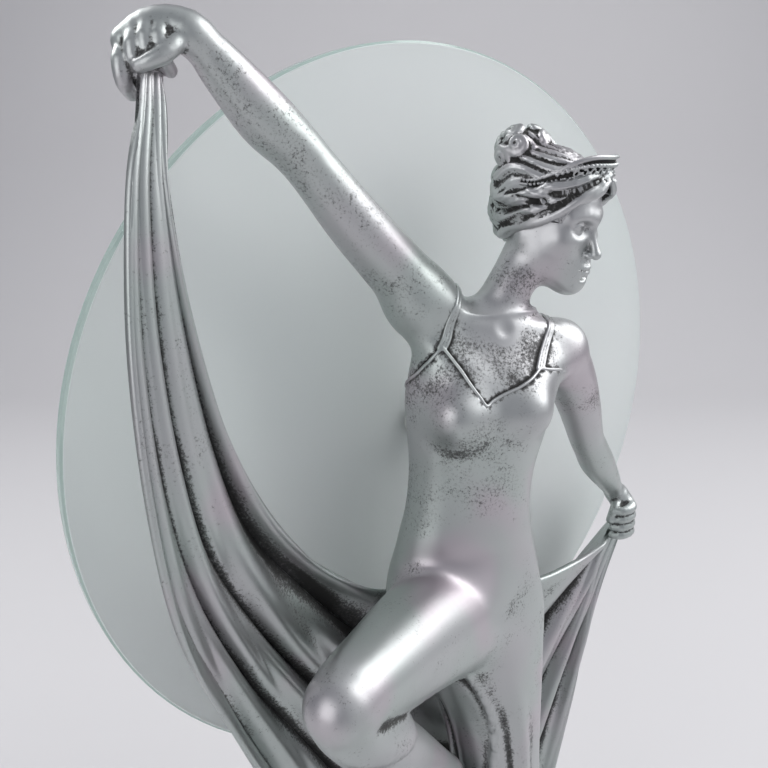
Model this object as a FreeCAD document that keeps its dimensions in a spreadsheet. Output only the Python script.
# Art deco table lamp: a cast resin statuette in front of a round frosted glass disc.
#
# Row frame: millimetres, +Z up, the front of the lamp faces -Y and +X is to the right seen
# from the front. The origin is the centre of the felt under the plinth, on the table.
#
# From the table up: felt, bottom plate, hollow stepped plinth, and on the plinth the
# statuette with its scarf. Behind the statuette a hollow threaded rod in a bright sleeve
# carries the lampholder, the bulb and a steel bracket, and the bracket holds the glass disc
# by one bolt through the middle of the disc.

import FreeCAD, Part, Sketcher
import math
import os

from FreeCAD import Placement, Rotation, Vector

os.makedirs("parts", exist_ok=True)
doc = FreeCAD.newDocument("table_lamp")


# Driving dimensions, in millimetres, one cell each.
SIZES = (
    ("disc_diameter", 250),
    ("disc_thickness", 5),
    ("disc_bevel", 1),
    ("disc_hole_diameter", 7),
    ("disc_height", 282),
    ("disc_reach", 37),
    ("plinth_length", 210),
    ("plinth_depth", 156),
    ("plinth_corner", 26),
    ("tier_step", 7),
    ("lower_tier", 18),
    ("middle_tier", 10),
    ("upper_tier", 10),
    ("tier_bevel", 1.2),
    ("cavity_inset", 14),
    ("felt_thickness", 1.5),
    ("felt_inset", 2),
    ("plate_thickness", 2),
    ("plate_inset", 5),
    ("plate_gap", 0.4),
    ("plate_screw_corner_gap", 9),
    ("plate_screw_inset", 9.5),
    ("plate_screw_diameter", 3),
    ("plate_screw_head", 5.6),
    ("plate_screw_length", 12),
    ("screw_gap", 0.2),
    ("inlet_screw_gap", 18),
    ("inlet_height", 9),
    ("inlet_diameter", 11),
    ("inlet_bore", 7.2),
    ("inlet_flange", 15),
    ("inlet_flange_thickness", 1.6),
    ("stem_inset", 26),
    ("rod_diameter", 10),
    ("rod_bore", 7.2),
    ("rod_tail", 12),
    ("rod_entry", 8),
    ("rod_gap", 0.25),
    ("sleeve_diameter", 14),
    ("collar_diameter", 22),
    ("collar_height", 5),
    ("nut_flats", 14),
    ("nut_height", 5),
    ("washer_diameter", 20),
    ("washer_thickness", 1.5),
    ("bracket_thickness", 2),
    ("bracket_width", 16),
    ("bracket_ring", 24),
    ("holder_height", 50),
    ("holder_diameter", 28),
    ("holder_cap_height", 14),
    ("holder_wall", 2.2),
    ("insert_floor", 4),
    ("insert_recess", 3),
    ("shell_bore", 14.2),
    ("shell_wall", 0.6),
    ("shell_height", 24),
    ("contact_width", 4),
    ("contact_thickness", 0.5),
    ("contact_lift", 5.4),
    ("bulb_diameter", 45),
    ("bulb_length", 78),
    ("bulb_rise", 6),
    ("cap_diameter", 13.8),
    ("cap_height", 19),
    ("cap_wall", 0.5),
    ("tip_height", 2.6),
    ("tip_diameter", 8),
    ("tip_gap", 0.3),
    ("bolt_diameter", 6),
    ("bolt_head_flats", 10),
    ("bolt_head_height", 4),
    ("pad_diameter", 14),
    ("pad_thickness", 1.5),
    ("knob_diameter", 13),
    ("knob_rim", 4),
    ("knob_length", 7),
    ("knob_wall", 3),
    ("thread_gap", 0.05),
    ("head_height", 42.5),
    ("statuette_reach", 39),
    ("statuette_side", -4),
    ("fixing_spread", 22),
    ("fixing_diameter", 4),
    ("fixing_head", 7),
    ("fixing_head_height", 2.6),
    ("fixing_grip", 8),
    ("fixing_gap", 0.2),
    ("mound_height", 4.5),
    ("mound_length", 62),
    ("mound_depth", 44),
    ("scarf_thickness", 2.4),
    ("seat_gap", 0.05),
)

sheet = doc.addObject("Spreadsheet::Sheet", "Sizes")
for row, (alias, number) in enumerate(SIZES, 1):
    sheet.set("A%d" % row, alias)
    sheet.set("B%d" % row, str(number))
    sheet.setAlias("B%d" % row, alias)
doc.recompute()


class Length:
    """A length that knows its number and the sheet formula that it comes from."""

    def __init__(self, number, formula):
        self.number = float(number)
        self.formula = formula

    def joined(self, other, sign, number):
        formula = other.formula if isinstance(other, Length) else repr(float(other))
        return Length(number, "(%s %s %s)" % (self.formula, sign, formula))

    def __add__(self, other):
        return self.joined(other, "+", self.number + float(other))

    def __sub__(self, other):
        return self.joined(other, "-", self.number - float(other))

    def __mul__(self, other):
        return self.joined(other, "*", self.number * float(other))

    def __truediv__(self, other):
        return self.joined(other, "/", self.number / float(other))

    def __neg__(self):
        return Length(-self.number, "(-1 * %s)" % self.formula)

    def __float__(self):
        return self.number


def size(alias):
    return Length(sheet.get(alias), "Sizes." + alias)


def bind(thing, **lengths):
    """Gives each named property its length, and ties it to the sheet."""
    for name, length in lengths.items():
        if isinstance(length, Length):
            thing.setExpression(name.replace("__", "."), length.formula)
        else:
            setattr(thing, name, length)


def place(thing, x=0, y=0, z=0, turn=None):
    """Puts a sub-part at x, y, z, each tied to the sheet, turned by a fixed rotation."""
    thing.Placement = Placement(Vector(float(x), float(y), float(z)), turn or Rotation())
    for axis, length in (("x", x), ("y", y), ("z", z)):
        if isinstance(length, Length):
            thing.setExpression("Placement.Base." + axis, length.formula)


SUBPARTS = []


def keep(thing, label):
    """Marks a finished sub-part under the name that its file gets."""
    thing.Label = label
    SUBPARTS.append(thing)
    return thing


# Turned pieces: one closed outline in the plane of the axis, revolved.

FACING_FRONT = Rotation(Vector(1, 0, 0), 90)


def outline_sketch(body, corners, plane_role):
    """A closed outline whose corners are tied to the sheet by their two distances."""
    sketch = body.newObject("Sketcher::SketchObject", body.Name + "_outline")
    plane = [p for p in body.Origin.OriginFeatures if p.Role == plane_role][0]
    sketch.AttachmentSupport = (plane, [""])
    sketch.MapMode = "FlatFace"
    spots = [Vector(float(across), float(up), 0) for across, up in corners]
    for index, spot in enumerate(spots):
        sketch.addGeometry(Part.LineSegment(spot, spots[(index + 1) % len(spots)]))
    for index in range(len(spots)):
        following = (index + 1) % len(spots)
        sketch.addConstraint(Sketcher.Constraint("Coincident", index, 2, following, 1))
    for index, corner in enumerate(corners):
        for kind, length in zip(("DistanceX", "DistanceY"), corner):
            number = sketch.addConstraint(Sketcher.Constraint(kind, index, 1, float(length)))
            if isinstance(length, Length):
                sketch.setExpression("Constraints[%d]" % number, length.formula)
    return sketch


def turned_form(label, corners):
    """A body of revolution about its own Z axis."""
    body = doc.addObject("PartDesign::Body", label)
    sketch = outline_sketch(body, corners, "XZ_Plane")
    spin = body.newObject("PartDesign::Revolution", label + "_turning")
    spin.Profile = sketch
    spin.ReferenceAxis = (sketch, ["V_Axis"])
    spin.Angle = 360
    doc.recompute()
    return body


def turned(label, corners):
    """A turned sub-part of its own."""
    return keep(turned_form(label, corners), label)


def drum(name, radius, height, x=0, y=0, z=0, turn=None):
    thing = doc.addObject("Part::Cylinder", name)
    bind(thing, Radius=radius, Height=height)
    place(thing, x, y, z, turn)
    return thing


def block(name, length, width, height, x=0, y=0, z=0):
    """A box centred on x, standing on z, from y back."""
    thing = doc.addObject("Part::Box", name)
    bind(thing, Length=length, Width=width, Height=height)
    place(thing, x, y, z)
    return thing


def hexagon(name, flats, height, x=0, y=0, z=0, turn=None):
    thing = doc.addObject("Part::Prism", name)
    thing.Polygon = 6
    bind(thing, Circumradius=flats / math.sqrt(3), Height=height)
    place(thing, x, y, z, turn)
    return thing


def cut(name, base, *tools):
    tool = tools[0] if len(tools) == 1 else fuse(name + "_tools", *tools)
    thing = doc.addObject("Part::Cut", name)
    thing.Base, thing.Tool = base, tool
    return thing


def fuse(name, *pieces):
    thing = doc.addObject("Part::MultiFuse", name)
    thing.Shapes = list(pieces)
    return thing


# The plinth: a lower tier cast as an open frame with cut corners, and on it, cemented down,
# a second casting with the two upper steps.

plinth_foot = size("felt_thickness")
plinth_height = size("lower_tier") + size("middle_tier") + size("upper_tier")
plinth_top = plinth_foot + plinth_height
cavity_roof = plinth_foot + size("lower_tier")
roof_height = size("middle_tier") + size("upper_tier")
# The stem stands in from the back of the plinth, and disc and statuette stand before it.
stem_y = size("plinth_depth") / 2 - size("stem_inset")
disc_front = stem_y - size("disc_reach")
statuette_y = disc_front - size("statuette_reach")


def cut_corner_slab(name, inset, height, z, corner):
    """A slab with the plinth's outline, drawn in by inset, with its four corners cut off."""
    length = size("plinth_length") - inset * 2
    depth = size("plinth_depth") - inset * 2
    box = block(name + "_block", length, depth, height, -(length / 2), -(depth / 2), z)
    doc.recompute()
    upright = [
        index
        for index, edge in enumerate(box.Shape.Edges, 1)
        if abs(edge.tangentAt(edge.FirstParameter).z) > 0.99
    ]
    slab = doc.addObject("Part::Chamfer", name)
    slab.Base = box
    slab.Edges = [(index, float(corner), float(corner)) for index in upright]
    return slab


def corner_cut(inset):
    """The cut that keeps an even border of inset all round, the corners included."""
    return size("plinth_corner") - inset * (2 - math.sqrt(2))


def tier(name, inset, height, z):
    """One tier of the plinth, with its top edge bevelled."""
    slab = cut_corner_slab(name + "_slab", inset, height, z, corner_cut(inset))
    doc.recompute()
    top = float(z + height)
    rims = [
        index
        for index, edge in enumerate(slab.Shape.Edges, 1)
        if all(abs(vertex.Z - top) < float(size("seat_gap")) for vertex in edge.Vertexes)
    ]
    bevelled = doc.addObject("Part::Chamfer", name)
    bevelled.Base = slab
    bevel = float(size("tier_bevel"))
    bevelled.Edges = [(index, bevel, bevel) for index in rims]
    return bevelled


nothing = size("felt_inset") * 0
lower = tier("lower_tier_slab", nothing, size("lower_tier"), plinth_foot)
middle = tier("middle_tier_slab", size("tier_step"), size("middle_tier"), cavity_roof)
upper = tier("upper_tier_slab", size("tier_step") * 2, roof_height, cavity_roof)
steps = fuse("steps", middle, upper)

recess = cut_corner_slab(
    "plate_recess",
    size("plate_inset"),
    size("plate_thickness") + size("tier_bevel"),
    plinth_foot - size("tier_bevel"),
    corner_cut(size("plate_inset")),
)
cavity = cut_corner_slab(
    "cavity",
    size("cavity_inset"),
    cavity_roof * 2,
    nothing,
    corner_cut(size("cavity_inset")),
)
stem_hole = drum(
    "stem_hole",
    size("rod_diameter") / 2 + size("rod_gap"),
    plinth_top * 2,
    0,
    stem_y,
    0,
)
screw_x = size("plinth_length") / 2 - size("plinth_corner") - size("plate_screw_corner_gap")
inlet_x = screw_x - size("inlet_screw_gap")
inlet_hole = drum(
    "inlet_hole",
    size("inlet_diameter") / 2,
    size("cavity_inset") * 2,
    inlet_x,
    size("plinth_depth") / 2 + size("cavity_inset") / 2,
    plinth_foot + size("inlet_height"),
    FACING_FRONT,
)


def plate_screw_places():
    """The four screws stand in the solid rim along the front and back of the plinth."""
    out = size("plinth_depth") / 2 - size("plate_screw_inset")
    return [(sx, sy, screw_x * sx, out * sy) for sx in (-1, 1) for sy in (-1, 1)]


plate_bottom = plinth_foot
plate_top = plinth_foot + size("plate_thickness")
pilot_holes = [
    drum(
        "pilot_%d" % number,
        size("plate_screw_diameter") / 2,
        size("plate_screw_length") - size("plate_thickness") + size("screw_gap"),
        x,
        y,
        plate_top,
    )
    for number, (sx, sy, x, y) in enumerate(plate_screw_places(), 1)
]
FOOTING_SIDE_SHARE = 0.38
statuette_x = size("statuette_side") + size("head_height") * FOOTING_SIDE_SHARE
fixing_spots = [
    (statuette_x + size("fixing_spread") / 2 * side, statuette_y) for side in (-1, 1)
]
fixing_holes = [
    drum(
        "fixing_hole_%d" % number,
        size("fixing_diameter") / 2 + size("fixing_gap"),
        plinth_top * 2,
        x,
        y,
        0,
    )
    for number, (x, y) in enumerate(fixing_spots, 1)
]
keep(cut("plinth_frame", lower, recess, cavity, inlet_hole, *pilot_holes), "plinth")
keep(cut("plinth_steps", steps, stem_hole, *fixing_holes), "plinth_top")

felt = cut_corner_slab(
    "felt_sheet",
    size("felt_inset"),
    size("felt_thickness"),
    nothing,
    corner_cut(size("felt_inset")),
)
keep(felt, "base_felt")

plate_slab = cut_corner_slab(
    "plate_slab",
    size("plate_inset") + size("plate_gap"),
    size("plate_thickness"),
    plate_bottom,
    corner_cut(size("plate_inset") + size("plate_gap")),
)


sinks = [
    drum(
        "sink_%d" % number,
        size("plate_screw_head") / 2 + size("screw_gap"),
        size("plate_thickness"),
        x,
        y,
        plate_bottom,
    )
    for number, (sx, sy, x, y) in enumerate(plate_screw_places(), 1)
]
keep(cut("plate", plate_slab, *sinks), "bottom_plate")



def screw(name, head, head_height, shank_radius, reach, x, y, z):
    """A screw standing on its six-sided head; the head's corners lie on the given width."""
    return fuse(
        name,
        hexagon(name + "_head", head * math.sqrt(3) / 2, head_height, x, y, z),
        drum(name + "_shank", shank_radius, reach - head_height / 2, x, y, z + head_height / 2),
    )


plate_screws = doc.addObject("Part::Compound", "plate_screws")
plate_screws.Links = [
    screw(
        "plate_screw_%d" % number,
        size("plate_screw_head"),
        size("plate_thickness"),
        size("plate_screw_diameter") / 2 - size("thread_gap"),
        size("plate_screw_length"),
        x,
        y,
        plate_bottom,
    )
    for number, (sx, sy, x, y) in enumerate(plate_screw_places(), 1)
]
keep(plate_screws, "plate_screws")

# The cord inlet: a flanged rubber grommet through the back wall of the lower tier.

back_face = size("plinth_depth") / 2
grommet = turned(
    "cord_grommet",
    [
        (size("inlet_bore") / 2, -size("inlet_flange_thickness")),
        (size("inlet_flange") / 2, -size("inlet_flange_thickness")),
        (size("inlet_flange") / 2, 0),
        (size("inlet_diameter") / 2 - size("seat_gap"), 0),
        (size("inlet_diameter") / 2 - size("seat_gap"), size("cavity_inset")),
        (size("inlet_bore") / 2, size("cavity_inset")),
    ],
)
place(
    grommet,
    inlet_x,
    back_face,
    plinth_foot + size("inlet_height"),
    FACING_FRONT,
)

# The stem: hollow rod, nut and washer under the plinth, and above it the bright sleeve with
# the collar that it is turned with.

bulb_centre = size("disc_height") + size("bulb_rise")
bulb_crown = bulb_centre + size("bulb_diameter") / 2
bulb_tip = bulb_crown - size("bulb_length")
contact_top = bulb_tip - size("tip_gap")
contact_bottom = contact_top - size("contact_thickness") - size("contact_lift")
holder_bottom = contact_bottom - size("insert_floor") - size("holder_cap_height")
bracket_bottom = holder_bottom - size("bracket_thickness")
rod_radius = size("rod_diameter") / 2
rod_hole = rod_radius + size("rod_gap")

rod = turned(
    "stem_rod",
    [
        (size("rod_bore") / 2, cavity_roof - size("rod_tail")),
        (rod_radius, cavity_roof - size("rod_tail")),
        (rod_radius, holder_bottom + size("rod_entry")),
        (size("rod_bore") / 2, holder_bottom + size("rod_entry")),
    ],
)
place(rod, 0, stem_y, 0)

sleeve = turned(
    "stem_sleeve",
    [
        (rod_hole, plinth_top),
        (size("collar_diameter") / 2, plinth_top),
        (size("collar_diameter") / 2, plinth_top + size("collar_height")),
        (size("sleeve_diameter") / 2, plinth_top + size("collar_height")),
        (size("sleeve_diameter") / 2, bracket_bottom),
        (rod_hole, bracket_bottom),
    ],
)
place(sleeve, 0, stem_y, 0)

washer = turned(
    "stem_washer",
    [
        (rod_hole, cavity_roof - size("washer_thickness")),
        (size("washer_diameter") / 2, cavity_roof - size("washer_thickness")),
        (size("washer_diameter") / 2, cavity_roof),
        (rod_hole, cavity_roof),
    ],
)
place(washer, 0, stem_y, 0)

nut_bottom = cavity_roof - size("washer_thickness") - size("nut_height")
nut_blank = hexagon("nut_blank", size("nut_flats"), size("nut_height"), 0, stem_y, nut_bottom)
nut_bore = drum(
    "nut_bore",
    rod_radius + size("thread_gap"),
    size("nut_height") * 2,
    0,
    stem_y,
    nut_bottom - size("nut_height") / 2,
)
keep(cut("nut", nut_blank, nut_bore), "stem_nut")

# The bracket: a strip bent to an L. Its ring lies under the lampholder, and its upright leg
# ends in a round eye behind the middle of the glass disc.

disc_back = disc_front + size("disc_thickness")
leg_front = disc_back + size("pad_thickness")
leg_back = leg_front + size("bracket_thickness")
strip_width = size("bracket_width")
ring = drum("bracket_ring_disc", size("bracket_ring") / 2, size("bracket_thickness"), 0, stem_y, bracket_bottom)
foot = block(
    "bracket_foot",
    strip_width,
    stem_y - leg_front,
    size("bracket_thickness"),
    -(strip_width / 2),
    leg_front,
    bracket_bottom,
)
leg = block(
    "bracket_leg",
    strip_width,
    size("bracket_thickness"),
    size("disc_height") - bracket_bottom,
    -(strip_width / 2),
    leg_front,
    bracket_bottom,
)
eye = drum("bracket_eye", strip_width / 2, size("bracket_thickness"), 0, leg_back, size("disc_height"), FACING_FRONT)
rod_way = drum("bracket_rod_way", rod_hole, size("bracket_thickness") * 3, 0, stem_y, bracket_bottom - size("bracket_thickness"))
bolt_hole_radius = size("bolt_diameter") / 2 + size("thread_gap") * 2
bolt_way = drum("bracket_bolt_way", bolt_hole_radius, size("bracket_thickness") * 3, 0, leg_back + size("bracket_thickness"), size("disc_height"), FACING_FRONT)
keep(cut("bracket", fuse("bracket_strip", ring, foot, leg, eye), rod_way, bolt_way), "disc_bracket")

# The disc and what clamps it: a rubber washer behind and one in front, bolt and knob.
# These pieces are turned about Z and then laid along Y, so their heights run to the front.

glass = turned(
    "glass_disc",
    [
        (size("disc_hole_diameter") / 2, 0),
        (size("disc_diameter") / 2 - size("disc_bevel"), 0),
        (size("disc_diameter") / 2, size("disc_bevel")),
        (size("disc_diameter") / 2, size("disc_thickness") - size("disc_bevel")),
        (size("disc_diameter") / 2 - size("disc_bevel"), size("disc_thickness")),
        (size("disc_hole_diameter") / 2, size("disc_thickness")),
    ],
)
place(glass, 0, disc_back, size("disc_height"), FACING_FRONT)

rear_pad = turned(
    "rear_washer",
    [
        (bolt_hole_radius, -size("pad_thickness")),
        (size("pad_diameter") / 2, -size("pad_thickness")),
        (size("pad_diameter") / 2, 0),
        (bolt_hole_radius, 0),
    ],
)
place(rear_pad, 0, disc_back, size("disc_height"), FACING_FRONT)

front_pad = turned(
    "front_washer",
    [
        (bolt_hole_radius, 0),
        (size("pad_diameter") / 2, 0),
        (size("pad_diameter") / 2, size("pad_thickness")),
        (bolt_hole_radius, size("pad_thickness")),
    ],
)
place(front_pad, 0, disc_front, size("disc_height"), FACING_FRONT)

knob_seat = disc_front - size("pad_thickness")
knob_depth = size("knob_length") - size("knob_wall")
knob = turned(
    "clamp_knob",
    [
        (size("bolt_diameter") / 2 + size("thread_gap"), 0),
        (size("knob_diameter") / 2, 0),
        (size("knob_diameter") / 2, size("knob_rim")),
        (size("knob_diameter") / 3, size("knob_rim")),
        (size("knob_diameter") / 3, size("knob_length")),
        (0, size("knob_length")),
        (0, knob_depth),
        (size("bolt_diameter") / 2 + size("thread_gap"), knob_depth),
    ],
)
place(knob, 0, knob_seat, size("disc_height"), FACING_FRONT)

bolt_head = hexagon("bolt_head", size("bolt_head_flats"), size("bolt_head_height"), 0, leg_back + size("bolt_head_height"), size("disc_height"), FACING_FRONT)
bolt_shank = drum(
    "bolt_shank",
    size("bolt_diameter") / 2,
    leg_back + size("bolt_head_height") / 2 - knob_seat + knob_depth - size("seat_gap") * 10,
    0,
    leg_back + size("bolt_head_height") / 2,
    size("disc_height"),
    FACING_FRONT,
)
keep(fuse("bolt", bolt_head, bolt_shank), "clamp_bolt")

# The lampholder: cap, skirt, insulating insert, threaded contact shell and centre contact.

holder_radius = size("holder_diameter") / 2
cap_top = holder_bottom + size("holder_cap_height")
holder_cap = turned(
    "holder_cap",
    [
        (rod_hole, holder_bottom),
        (holder_radius, holder_bottom),
        (holder_radius, cap_top),
        (rod_hole, cap_top),
    ],
)
place(holder_cap, 0, stem_y, 0)

holder_top = holder_bottom + size("holder_height")
skirt_inner = holder_radius - size("holder_wall")
holder_skirt = turned(
    "holder_skirt",
    [
        (skirt_inner, cap_top),
        (holder_radius, cap_top),
        (holder_radius, holder_top),
        (skirt_inner, holder_top),
    ],
)
place(holder_skirt, 0, stem_y, 0)

shell_outer = size("shell_bore") / 2 + size("shell_wall")
insert_radius = skirt_inner - size("seat_gap")
insert_bore = shell_outer + size("seat_gap")
floor_top = cap_top + size("insert_floor")
insert = turned(
    "holder_insert",
    [
        (0, cap_top),
        (insert_radius, cap_top),
        (insert_radius, holder_top - size("insert_recess")),
        (insert_bore, holder_top - size("insert_recess")),
        (insert_bore, floor_top),
        (0, floor_top),
    ],
)
place(insert, 0, stem_y, 0)

shell = turned(
    "contact_shell",
    [
        (size("shell_bore") / 2, floor_top),
        (shell_outer, floor_top),
        (shell_outer, floor_top + size("shell_height")),
        (size("shell_bore") / 2, floor_top + size("shell_height")),
    ],
)
place(shell, 0, stem_y, 0)

tongue_length = size("shell_bore") / 2
tongue = block("contact_tongue", tongue_length, size("contact_width"), size("contact_thickness"), -(tongue_length / 2), stem_y - size("contact_width") / 2, floor_top)
riser = block("contact_riser", size("contact_thickness"), size("contact_width"), size("contact_lift"), -(tongue_length / 2), stem_y - size("contact_width") / 2, floor_top)
blade = block("contact_blade", tongue_length, size("contact_width"), size("contact_thickness"), -(tongue_length / 2), stem_y - size("contact_width") / 2, floor_top + size("contact_lift"))
keep(fuse("centre_spring", tongue, riser, blade), "centre_contact")

# The bulb: opal glass with a round envelope and a neck, its screw cap and contact tip.

cap_bottom = bulb_tip + size("tip_height")
bulb_cap_top = cap_bottom + size("cap_height")
cap_radius = size("cap_diameter") / 2
cap_inner = cap_radius - size("cap_wall")
bulb_cap = turned(
    "bulb_cap",
    [
        (cap_inner, cap_bottom),
        (cap_radius, cap_bottom),
        (cap_radius, bulb_cap_top),
        (cap_inner, bulb_cap_top),
    ],
)
place(bulb_cap, 0, stem_y, 0)

bulb_contact = turned(
    "bulb_contact",
    [
        (0, bulb_tip),
        (size("tip_diameter") / 2, bulb_tip),
        (size("tip_diameter") / 2, cap_bottom + size("tip_height")),
        (0, cap_bottom + size("tip_height")),
    ],
)
place(bulb_contact, 0, stem_y, 0)


def feature(label, shape):
    """A sub-part whose form comes from sections worked out in code."""
    thing = doc.addObject("Part::Feature", label)
    thing.Shape = shape
    return keep(thing, label)


UP = Vector(0, 0, 1)
AWAY = Vector(0, 1, 0)
ACROSS = Vector(1, 0, 0)

ROUND_SIDES = 14


def skinned(rings):
    """The solid whose skin runs through sections of equally many points, in flat facets."""
    count, points, facets = len(rings[0]), [], []
    for ring in rings:
        points += ring
    for start in range(0, len(points) - count, count):
        for step in range(count):
            here, beside = start + step, start + (step + 1) % count
            facets += [(here, beside, beside + count), (here, beside + count, here + count)]
    for start, order in ((0, -1), (len(points) - count, 1)):
        for step in range(count // 2 - 1):
            near, far = start + step, start + count - 1 - step
            facets += [(near, near + 1, far)[::order], (near + 1, far - 1, far)[::order]]
    shell = Part.Shape()
    shell.makeShapeFromMesh((points, facets), float(size("seat_gap")) / 10)
    solid = Part.makeSolid(shell)
    return solid if solid.Volume > 0 else solid.reversed()


def section(
    centre, normal, reference, half_width, half_depth, count=ROUND_SIDES, folds=0, fold_share=0
):
    """Points round centre, square to normal, drawn in at each fold."""
    normal = Vector(normal).normalize()
    side = (reference - normal * reference.dot(normal)).normalize()
    other = normal.cross(side)
    points = []
    for step in range(count):
        angle = 2 * math.pi * step / count
        reach = 1 + fold_share * math.cos(folds * angle)
        points.append(
            centre
            + side * (half_width * reach * math.cos(angle))
            + other * (half_depth * reach * math.sin(angle))
        )
    return points


# The bulb's opal envelope: rings from the neck up the flare and round to the crown.
ENVELOPE_RINGS = 6
ENVELOPE_SIDES = 24
FLARE_SHARE = 0.72
bulb_radius = float(size("bulb_diameter")) / 2
neck_radius = float(cap_inner - size("seat_gap"))
neck_bottom = float(cap_bottom + size("tip_height"))
levels = [(neck_radius, neck_bottom), (neck_radius, float(bulb_cap_top))]
for step in range(ENVELOPE_RINGS * 2, 0, -1):
    turn = math.pi / 2 * step / ENVELOPE_RINGS
    if turn < math.pi / 2 * (1 + FLARE_SHARE):
        levels.append((bulb_radius * math.sin(turn), float(bulb_centre) + bulb_radius * math.cos(turn)))
levels.append((bulb_radius * math.sin(turn) / 4, float(bulb_crown)))
bulb_axis = AWAY * float(stem_y)
feature(
    "bulb_glass",
    skinned(
        [
            section(bulb_axis + UP * height, UP, ACROSS, radius, radius, ENVELOPE_SIDES)
            for radius, height in levels
        ]
    ),
)

# The statuette. Its places and thicknesses are shares of its head height, measured from the
# point on the plinth under the middle of its hips. It stands eight heads tall and faces
# the front, with its weight on its left leg and its right knee lifted forward.

HEAD = float(size("head_height"))
GROUND = Vector(float(size("statuette_side")), float(statuette_y), float(plinth_top))


def spot(shares):
    return GROUND + Vector(*shares) * HEAD


def limb(section_shares, reference):
    """A limb through round sections; each row is x, y, z and radius, in heads."""
    centres = [spot(row[:3]) for row in section_shares]
    rings = []
    for index, centre in enumerate(centres):
        before = centres[max(index - 1, 0)]
        after = centres[min(index + 1, len(centres) - 1)]
        radius = section_shares[index][3] * HEAD
        rings.append(section(centre, after - before, reference, radius, radius))
    return skinned(rings)


GOWN_FOLDS = 7
GOWN_POINTS = 4 * GOWN_FOLDS
# Each row: height, place across and back, half width, half depth, depth of the folds.
GOWN_SHARES = (
    (0.50, 0.40, 0.02, 0.62, 0.46, 0.13),
    (1.00, 0.38, 0.02, 0.52, 0.41, 0.12),
    (1.75, 0.32, 0.02, 0.42, 0.35, 0.09),
    (2.60, 0.26, 0.00, 0.37, 0.33, 0.06),
    (3.40, 0.16, 0.00, 0.42, 0.36, 0.03),
    (3.95, 0.02, 0.02, 0.54, 0.41, 0.01),
    (4.35, -0.08, 0.05, 0.63, 0.43, 0.00),
    (4.70, -0.15, 0.05, 0.62, 0.40, 0.00),
    (5.00, -0.17, 0.03, 0.55, 0.35, 0.00),
    (5.30, -0.16, 0.02, 0.48, 0.32, 0.00),
    (5.60, -0.13, 0.02, 0.475, 0.33, 0.00),
    (5.90, -0.10, 0.00, 0.53, 0.38, 0.00),
    (6.15, -0.07, -0.01, 0.565, 0.39, 0.00),
    (6.40, -0.02, 0.04, 0.56, 0.34, 0.00),
    (6.60, 0.02, 0.08, 0.50, 0.27, 0.00),
    (6.76, 0.07, 0.09, 0.32, 0.21, 0.00),
    (6.90, 0.15, 0.06, 0.19, 0.19, 0.00),
    (7.06, 0.25, 0.04, 0.175, 0.175, 0.00),
    (7.24, 0.38, 0.02, 0.18, 0.18, 0.00),
)
GOWN_TURN = -20
GOWN_TURN_HEIGHT_SHARE = 5.3


def gown():
    """Gown, trunk and neck in one; above the hips the trunk turns towards the lifted knee."""
    rings = []
    for height, x, y, half_width, half_depth, fold_share in GOWN_SHARES:
        turn = GOWN_TURN * min(1, height / GOWN_TURN_HEIGHT_SHARE)
        side = Rotation(UP, turn).multVec(ACROSS)
        rings.append(
            section(
                spot((x, y, height)),
                UP,
                side,
                half_width * HEAD,
                half_depth * HEAD,
                GOWN_POINTS,
                GOWN_FOLDS,
                fold_share,
            )
        )
    return skinned(rings)


def head_form(level_shares):
    """A form through sections of the head; each row is height over its middle, place
    forward, half width and half depth. The head is turned and bowed afterwards."""
    full = HEAD * HEAD_FULL_SHARE
    rings = [
        section(
            Vector(0, -forward * full, height * full),
            UP,
            ACROSS,
            half_width * full,
            half_depth * full,
        )
        for height, forward, half_width, half_depth in level_shares
    ]
    form = skinned(rings)
    form.Placement = Placement(spot(HEAD_CENTRE_SHARE), Rotation(HEAD_TURN, 0, HEAD_BOW))
    return form


HEAD_CENTRE_SHARE = (0.52, -0.03, 7.42)
HEAD_FULL_SHARE = 0.94
HEAD_TURN = 16
HEAD_BOW = 12
SKULL_SHARES = (
    (-0.50, 0.30, 0.08, 0.07),
    (-0.42, 0.24, 0.17, 0.17),
    (-0.30, 0.16, 0.235, 0.265),
    (-0.15, 0.09, 0.29, 0.34),
    (0.00, 0.05, 0.325, 0.385),
    (0.15, 0.02, 0.35, 0.41),
    (0.28, 0.00, 0.345, 0.40),
    (0.40, -0.02, 0.27, 0.32),
)
HAIR_SHARES = (
    (-0.22, -0.24, 0.18, 0.14),
    (-0.08, -0.17, 0.34, 0.29),
    (0.12, -0.10, 0.40, 0.39),
    (0.30, -0.07, 0.41, 0.43),
    (0.44, -0.08, 0.34, 0.36),
    (0.53, -0.10, 0.18, 0.20),
)
BUN_SHARES = (
    (0.24, -0.32, 0.16, 0.14),
    (0.36, -0.35, 0.23, 0.20),
    (0.48, -0.34, 0.21, 0.18),
    (0.58, -0.32, 0.10, 0.09),
)
# The tiara: a band low over the hair that stands highest and furthest out in front.
TIARA_SHARES = (
    (0.22, 0.06, 0.405, 0.40),
    (0.36, 0.09, 0.42, 0.42),
    (0.40, 0.10, 0.40, 0.40),
)
RAISED_SHOULDER_SHARES = (
    (0.02, 0.12, 6.60, 0.18),
    (-0.24, 0.21, 6.71, 0.20),
    (-0.46, 0.27, 6.86, 0.225),
)
LOWERED_SHOULDER_SHARES = (
    (0.12, 0.07, 6.57, 0.18),
    (0.40, -0.02, 6.51, 0.18),
    (0.62, -0.07, 6.42, 0.205),
)
THIGH_SHARES = (
    (-0.12, 0.04, 4.42, 0.40),
    (-0.42, -0.06, 4.50, 0.41),
    (-0.85, -0.25, 4.60, 0.36),
    (-1.30, -0.47, 4.68, 0.30),
    (-1.66, -0.64, 4.73, 0.25),
    (-1.84, -0.72, 4.74, 0.20),
    (-1.96, -0.77, 4.74, 0.08),
)
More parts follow.
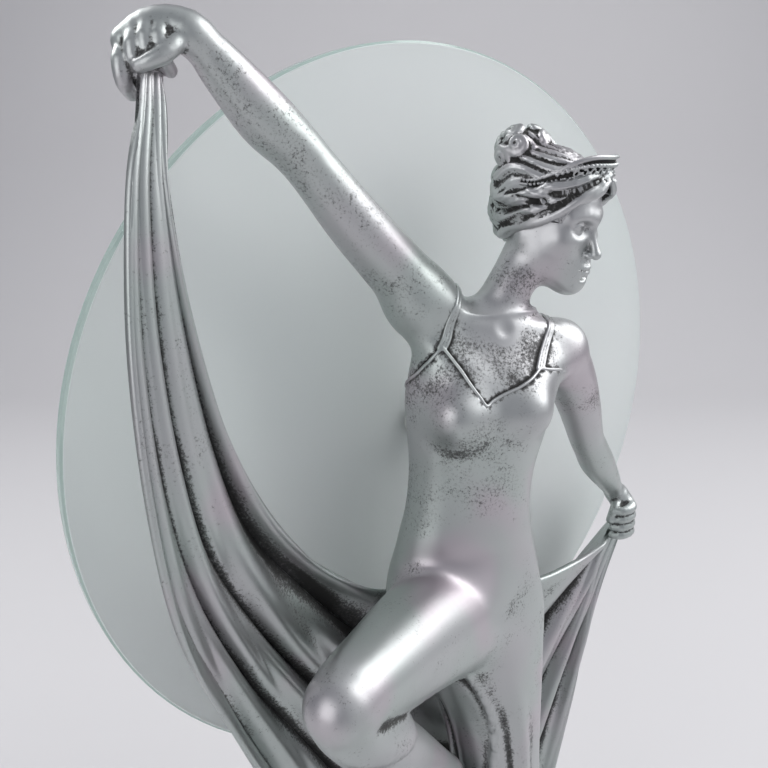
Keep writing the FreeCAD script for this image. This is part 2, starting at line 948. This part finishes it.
SHIN_SHARES = (
    (-1.84, -0.71, 4.86, 0.10),
    (-1.80, -0.70, 4.72, 0.21),
    (-1.72, -0.65, 4.50, 0.215),
    (-1.48, -0.54, 4.22, 0.235),
    (-1.18, -0.42, 3.92, 0.215),
    (-0.84, -0.28, 3.58, 0.16),
    (-0.55, -0.17, 3.28, 0.115),
    (-0.42, -0.13, 3.08, 0.13),
    (-0.30, -0.14, 2.84, 0.14),
    (-0.18, -0.17, 2.50, 0.12),
    (-0.08, -0.18, 2.14, 0.06),
)
FOOT_SHARES = (
    (0.42, 0.04, 0.70, 0.13),
    (0.42, 0.00, 0.45, 0.15),
    (0.42, -0.20, 0.26, 0.15),
    (0.41, -0.48, 0.17, 0.13),
    (0.40, -0.68, 0.13, 0.07),
)
MOUND_SHARES = ((0, 1), (0.4, 0.97), (0.8, 0.86), (1, 0.72))


def mound():
    """The low rounded footing that the casting stands on."""
    ground = Vector(float(statuette_x), float(statuette_y), float(plinth_top))
    length, depth = float(size("mound_length")) / 2, float(size("mound_depth")) / 2
    height = float(size("mound_height"))
    rings = [
        section(ground + UP * (height * rise), UP, ACROSS, length * reach, depth * reach)
        for rise, reach in MOUND_SHARES
    ]
    return skinned(rings)


statuette = gown().fuse(
    [
        head_form(SKULL_SHARES),
        head_form(HAIR_SHARES),
        head_form(BUN_SHARES),
        head_form(TIARA_SHARES),
        limb(RAISED_SHOULDER_SHARES, UP),
        limb(LOWERED_SHOULDER_SHARES, UP),
        limb(THIGH_SHARES, UP),
        limb(SHIN_SHARES, UP),
        limb(FOOT_SHARES, ACROSS),
        mound(),
    ]
)
for x, y in fixing_spots:
    radius = float(size("fixing_diameter")) / 2
    reach = float(size("fixing_grip")) + float(size("fixing_gap"))
    hole = Part.makeCylinder(radius, reach, Vector(float(x), float(y), float(plinth_top)))
    statuette = statuette.cut(hole)

RAISED_ARM_SHARES = (
    (-0.36, 0.26, 6.78, 0.18),
    (-0.46, 0.27, 6.89, 0.235),
    (-0.66, 0.29, 7.12, 0.215),
    (-0.98, 0.31, 7.45, 0.19),
    (-1.26, 0.31, 7.76, 0.165),
    (-1.42, 0.30, 7.92, 0.165),
    (-1.62, 0.29, 8.09, 0.175),
    (-1.86, 0.28, 8.33, 0.145),
    (-2.02, 0.27, 8.48, 0.105),
    (-2.14, 0.26, 8.56, 0.13),
    (-2.28, 0.25, 8.54, 0.17),
    (-2.38, 0.24, 8.38, 0.17),
    (-2.38, 0.23, 8.18, 0.13),
    (-2.34, 0.23, 8.05, 0.07),
)
LOWERED_ARM_SHARES = (
    (0.50, -0.05, 6.46, 0.16),
    (0.66, -0.06, 6.38, 0.225),
    (0.88, 0.00, 6.14, 0.20),
    (1.14, 0.10, 5.81, 0.175),
    (1.40, 0.22, 5.46, 0.15),
    (1.54, 0.27, 5.30, 0.15),
    (1.76, 0.36, 5.08, 0.155),
    (2.06, 0.46, 4.80, 0.12),
    (2.24, 0.51, 4.62, 0.09),
    (2.36, 0.55, 4.48, 0.12),
    (2.46, 0.58, 4.28, 0.13),
    (2.46, 0.59, 4.12, 0.07),
)

# The scarf runs from hand to hand: narrow in each fist, wide and low behind the hips, where
# its hem stands on the footing. Each row is a point on its top edge and one on its hem.
SCARF_SHARES = (
    ((-2.30, 0.24, 8.20), (-2.42, 0.22, 8.20)),
    ((-2.30, 0.24, 7.75), (-2.54, 0.20, 7.70)),
    ((-2.22, 0.24, 7.00), (-2.62, 0.16, 6.85)),
    ((-2.06, 0.26, 6.25), (-2.62, 0.12, 5.95)),
    ((-1.82, 0.30, 5.65), (-2.52, 0.10, 5.10)),
    ((-1.46, 0.36, 5.16), (-2.26, 0.10, 4.30)),
    ((-1.04, 0.42, 4.80), (-1.85, 0.16, 3.40)),
    ((-0.55, 0.48, 4.54), (-1.30, 0.26, 2.30)),
    ((0.00, 0.53, 4.38), (-0.62, 0.36, 1.20)),
    ((0.60, 0.55, 4.30), (0.16, 0.44, 0.10)),
    ((1.15, 0.55, 4.26), (0.98, 0.48, 0.10)),
    ((1.66, 0.56, 4.24), (1.55, 0.50, 1.90)),
    ((2.08, 0.57, 4.26), (1.98, 0.54, 3.30)),
    ((2.42, 0.58, 4.30), (2.48, 0.58, 4.14)),
)
SCARF_FOLDS = 5
SCARF_POINTS = 4 * SCARF_FOLDS
SCARF_FOLD_SHARE = 0.05
SCARF_THICK_SHARE = 0.2


def scarf_form():
    """A pleated sheet lofted from hand to hand; its pleats deepen with its width."""
    half = float(size("scarf_thickness")) / 2
    tops = [spot(top) for top, hem in SCARF_SHARES]
    rings = []
    for index, (top, hem) in enumerate(SCARF_SHARES):
        high, low = spot(top), spot(hem)
        before, after = tops[max(index - 1, 0)], tops[min(index + 1, len(tops) - 1)]
        drop = low - high
        face = drop.cross(after - before).normalize()
        if face.y > 0:
            face = face * -1
        width = drop.Length
        swing = min(width * SCARF_FOLD_SHARE, half * 2)
        thick = min(half, width * SCARF_THICK_SHARE)
        front, back = [], []
        for step in range(SCARF_POINTS + 1):
            share = step / SCARF_POINTS
            wave = swing * math.cos(2 * math.pi * SCARF_FOLDS * share)
            middle = high + drop * share + face * wave
            front.append(middle + face * thick)
            back.append(middle - face * thick)
        rings.append(front + back[::-1])
    return skinned(rings)


def largest(shape):
    return max(shape.Solids, key=lambda solid: solid.Volume)


# The three loose castings are cut where they meet the body, and so lie face to face with it.
raised_arm = largest(limb(RAISED_ARM_SHARES, AWAY).cut(statuette))
lowered_arm = largest(limb(LOWERED_ARM_SHARES, AWAY).cut(statuette))
scarf = largest(scarf_form().cut([statuette, raised_arm, lowered_arm]))
feature("statuette_body", statuette)
feature("raised_arm", raised_arm)
feature("lowered_arm", lowered_arm)
feature("scarf", scarf)

screw_head_bottom = cavity_roof - size("fixing_head_height")
fixing_screws = doc.addObject("Part::Compound", "fixing_screws")
fixing_screws.Links = [
    screw(
        "fixing_screw_%d" % number,
        size("fixing_head"),
        size("fixing_head_height"),
        size("fixing_diameter") / 2 - size("thread_gap"),
        size("fixing_head_height") + roof_height + size("fixing_grip"),
        x,
        y,
        screw_head_bottom,
    )
    for number, (x, y) in enumerate(fixing_spots, 1)
]
keep(fixing_screws, "statuette_screws")

# Everything is checked before anything is written.

doc.recompute()
for thing in doc.Objects:
    if "Invalid" in thing.State or "Error" in thing.State:
        raise RuntimeError("%s failed: %s" % (thing.Name, thing.State))
for thing in SUBPARTS:
    if thing.Shape.isNull() or not thing.Shape.isValid() or not thing.Shape.Solids:
        raise RuntimeError("%s has no valid solid" % thing.Label)
for thing in SUBPARTS:
    thing.Shape.exportStep(os.path.join("parts", thing.Label + ".step"))
print("wrote %d sub-parts" % len(SUBPARTS))
